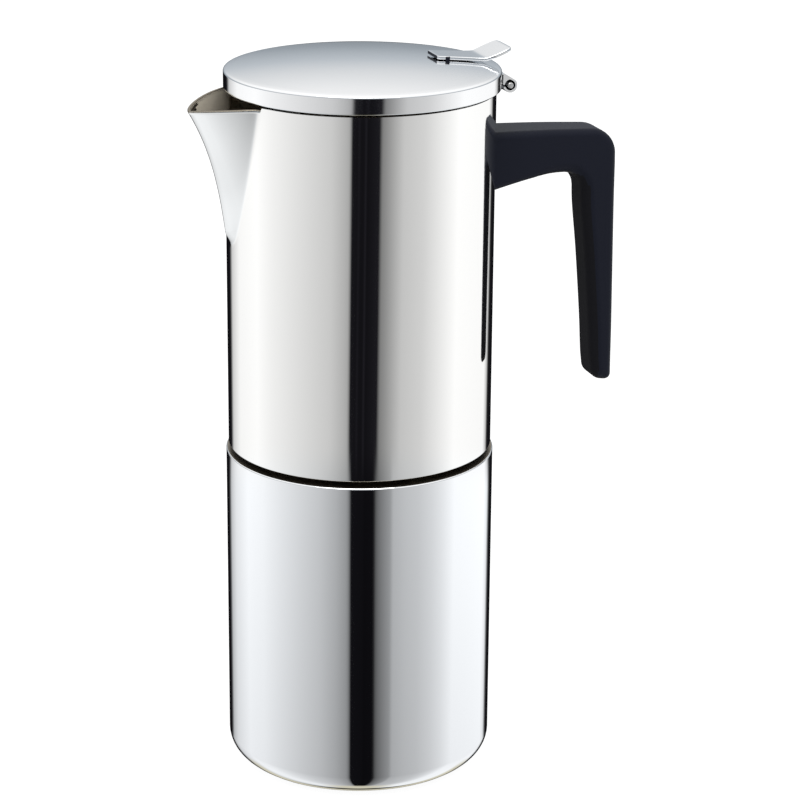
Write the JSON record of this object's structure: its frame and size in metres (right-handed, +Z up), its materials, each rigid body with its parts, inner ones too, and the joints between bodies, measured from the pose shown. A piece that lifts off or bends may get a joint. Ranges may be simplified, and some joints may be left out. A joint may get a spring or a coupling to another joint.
{
  "type": "moka pot",
  "caption": "Cylindrical steel stovetop moka pot: boiler with safety valve, coffee funnel, screw-on jug with spout, hinged lid and black handle.",
  "frame": {"origin": "middle of the base on the pot's axis, on the surface that it stands on", "axes": "+Z up, -X towards the spout, +X towards the handle, +Y towards the safety valve"},
  "size_m": [0.1464, 0.1028, 0.2453],
  "materials": {
    "polished_steel": "mirror-polished stainless steel",
    "satin_steel": "satin stainless steel",
    "brass": "turned brass",
    "silicone": "off-white silicone",
    "black_plastic": "matte black heat-resistant plastic"
  },
  "bodies": {
    "boiler": {"boiler_shell": "polished_steel", "base_disc": "polished_steel", "boiler_neck": "satin_steel", "valve_body": "brass", "valve_nut": "brass", "valve_washer": "silicone", "valve_end_ring": "brass", "valve_spring": "satin_steel"},
    "valve_pin": {"valve_pin": "satin_steel"},
    "funnel": {"funnel": "satin_steel", "funnel_filter_disc": "satin_steel"},
    "gasket": {"gasket": "silicone"},
    "filter_plate": {"filter_plate": "satin_steel"},
    "jug": {"jug_shell": "polished_steel", "jug_collar": "satin_steel", "jug_floor": "satin_steel", "riser_column": "satin_steel", "column_cap": "satin_steel", "handle_bracket": "satin_steel", "handle_grip": "black_plastic", "handle_screw": "satin_steel", "hinge_bracket": "polished_steel", "hinge_pin": "polished_steel"},
    "lid": {"lid_shell": "polished_steel", "lid_lever": "polished_steel", "lid_hinge_leaf": "polished_steel"}
  },
  "joints": [
    {"name": "valve_pin_slide", "type": "slide", "parent": "boiler", "child": "valve_pin", "axis": [0, 1, 0], "range_m": [0, 0.0015], "stiffness_N_per_m": 1500, "springref_m": -0.0015, "deforming": ["valve_spring"]},
    {"name": "funnel_lift", "type": "slide", "parent": "boiler", "child": "funnel", "axis": [0, 0, 1], "range_m": [0, 0.12]},
    {"name": "jug_lift_off", "type": "slide", "parent": "funnel", "child": "gasket", "axis": [0, 0, 1], "range_m": [0, 0.09]},
    {"name": "thread_rise", "type": "slide", "parent": "gasket", "child": "filter_plate", "axis": [0, 0, 1], "range_m": [0, 0.0061]},
    {"name": "jug_unscrew", "type": "hinge", "parent": "filter_plate", "child": "jug", "pos_m": [0, 0, 0.1215], "axis": [0, 0, 1], "range_deg": [0, 720]},
    {"name": "lid_open", "type": "hinge", "parent": "jug", "child": "lid", "pos_m": [0.0488, 0, 0.233], "axis": [0, 1, 0], "range_deg": [0, 110]}
  ],
  "couplings": [
    {"joint": "thread_rise", "follows": "jug_unscrew", "m_per_rad": 0.00047746}
  ]
}
